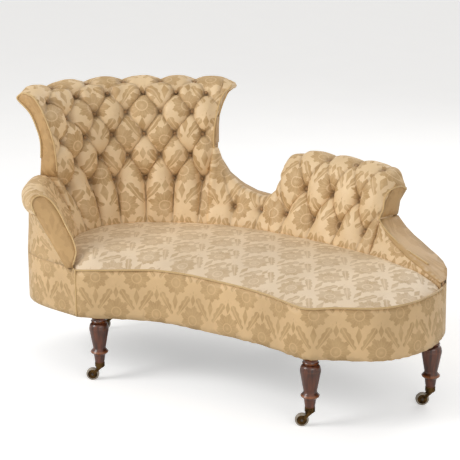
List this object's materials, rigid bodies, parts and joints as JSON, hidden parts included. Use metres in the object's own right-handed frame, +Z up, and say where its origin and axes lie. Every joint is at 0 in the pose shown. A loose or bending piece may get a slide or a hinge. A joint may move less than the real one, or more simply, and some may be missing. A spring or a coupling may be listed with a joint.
{
  "type": "chaise longue",
  "caption": "Button-tufted chaise longue with a kidney-shaped sprung seat, a high scrolled back, a low hump, one arm and turned legs on castors.",
  "frame": {"origin": "middle of the bounding box in plan, on the floor under the castors", "axes": "+X along the seat from the arm towards the open end, +Y from the sitter towards the back, +Z up"},
  "size_m": [1.5784, 0.8848, 0.935],
  "materials": {
    "mahogany": "dark polished mahogany",
    "brass": "aged dark brass",
    "axle_steel": "dull steel",
    "wheel_ceramic": "off-white glazed ceramic",
    "beech": "unfinished hardwood",
    "webbing": "woven jute strap",
    "bottom_cloth": "thin black cotton",
    "spring_steel": "bright drawn wire",
    "hessian": "coarse hessian",
    "stuffing": "stuffed muslin",
    "seat_damask": "champagne silk damask",
    "piping": "gold self piping",
    "button_cloth": "covered buttons",
    "facing_damask": "gold silk damask",
    "cover_damask": "gold silk damask",
    "tufted_damask": "gold silk damask, buttoned"
  },
  "bodies": {
    "body": {"front_left_leg": "mahogany", "middle_front_leg": "mahogany", "right_end_leg": "mahogany", "rear_centre_leg": "mahogany", "rear_left_leg": "mahogany", "castor_cups": "brass", "front_rail": "beech", "right_end_rail": "beech", "rear_right_rail": "beech", "rear_left_rail": "beech", "left_end_rail": "beech", "glue_blocks": "beech", "seat_webbing": "webbing", "bottom_cloth": "bottom_cloth", "seat_springs": "spring_steel", "spring_hessian": "hessian", "edge_roll": "stuffing", "seat_pad": "seat_damask", "seat_border": "cover_damask", "seat_piping": "piping", "high_back_pad": "tufted_damask", "swoop_pad": "tufted_damask", "hump_pad": "tufted_damask", "tail_pad": "tufted_damask", "arm_pad": "tufted_damask", "arm_base": "stuffing", "high_back_posts": "beech", "high_back_top_rail": "beech", "low_back_posts": "beech", "swoop_rail": "beech", "hump_rail": "beech", "tail_rail": "beech", "arm_rail": "beech", "arm_posts": "beech", "outside_skirt": "cover_damask", "outside_arm_cover": "cover_damask", "outside_high_back_cover": "cover_damask", "outside_low_back_cover": "cover_damask", "left_back_facing": "facing_damask", "right_back_facing": "facing_damask", "low_back_facings": "facing_damask", "hump_facing": "facing_damask", "arm_facing": "facing_damask", "buttons": "button_cloth"},
    "front_left_castor": {"front_left_castor_fork": "brass", "front_left_castor_axle": "axle_steel"},
    "front_left_wheel": {"front_left_castor_wheel": "wheel_ceramic"},
    "middle_front_castor": {"middle_front_castor_fork": "brass", "middle_front_castor_axle": "axle_steel"},
    "middle_front_wheel": {"middle_front_castor_wheel": "wheel_ceramic"},
    "right_end_castor": {"right_end_castor_fork": "brass", "right_end_castor_axle": "axle_steel"},
    "right_end_wheel": {"right_end_castor_wheel": "wheel_ceramic"},
    "rear_centre_castor": {"rear_centre_castor_fork": "brass", "rear_centre_castor_axle": "axle_steel"},
    "rear_centre_wheel": {"rear_centre_castor_wheel": "wheel_ceramic"},
    "rear_left_castor": {"rear_left_castor_fork": "brass", "rear_left_castor_axle": "axle_steel"},
    "rear_left_wheel": {"rear_left_castor_wheel": "wheel_ceramic"}
  },
  "joints": [
    {"name": "front_left_swivel", "type": "hinge", "parent": "body", "child": "front_left_castor", "pos_m": [-0.29745, -0.37893, 0.052], "axis": [0, 0, 1], "continuous": true},
    {"name": "front_left_roll", "type": "hinge", "parent": "front_left_castor", "child": "front_left_wheel", "pos_m": [-0.31842, -0.39254, 0.022], "axis": [0.5446, -0.8387, 0], "continuous": true},
    {"name": "middle_front_swivel", "type": "hinge", "parent": "body", "child": "middle_front_castor", "pos_m": [0.50863, -0.33836, 0.052], "axis": [0, 0, 1], "continuous": true},
    {"name": "middle_front_roll", "type": "hinge", "parent": "middle_front_castor", "child": "middle_front_wheel", "pos_m": [0.48767, -0.35197, 0.022], "axis": [0.5446, -0.8387, 0], "continuous": true},
    {"name": "right_end_swivel", "type": "hinge", "parent": "body", "child": "right_end_castor", "pos_m": [0.75151, 0.02863, 0.052], "axis": [0, 0, 1], "continuous": true},
    {"name": "right_end_roll", "type": "hinge", "parent": "right_end_castor", "child": "right_end_wheel", "pos_m": [0.73055, 0.01502, 0.022], "axis": [0.5446, -0.8387, 0], "continuous": true},
    {"name": "rear_centre_swivel", "type": "hinge", "parent": "body", "child": "rear_centre_castor", "pos_m": [0.10832, 0.33201, 0.052], "axis": [0, 0, 1], "continuous": true},
    {"name": "rear_centre_roll", "type": "hinge", "parent": "rear_centre_castor", "child": "rear_centre_wheel", "pos_m": [0.08735, 0.31839, 0.022], "axis": [0.5446, -0.8387, 0], "continuous": true},
    {"name": "rear_left_swivel", "type": "hinge", "parent": "body", "child": "rear_left_castor", "pos_m": [-0.59189, 0.06556, 0.052], "axis": [0, 0, 1], "continuous": true},
    {"name": "rear_left_roll", "type": "hinge", "parent": "rear_left_castor", "child": "rear_left_wheel", "pos_m": [-0.61285, 0.05194, 0.022], "axis": [0.5446, -0.8387, 0], "continuous": true}
  ]
}
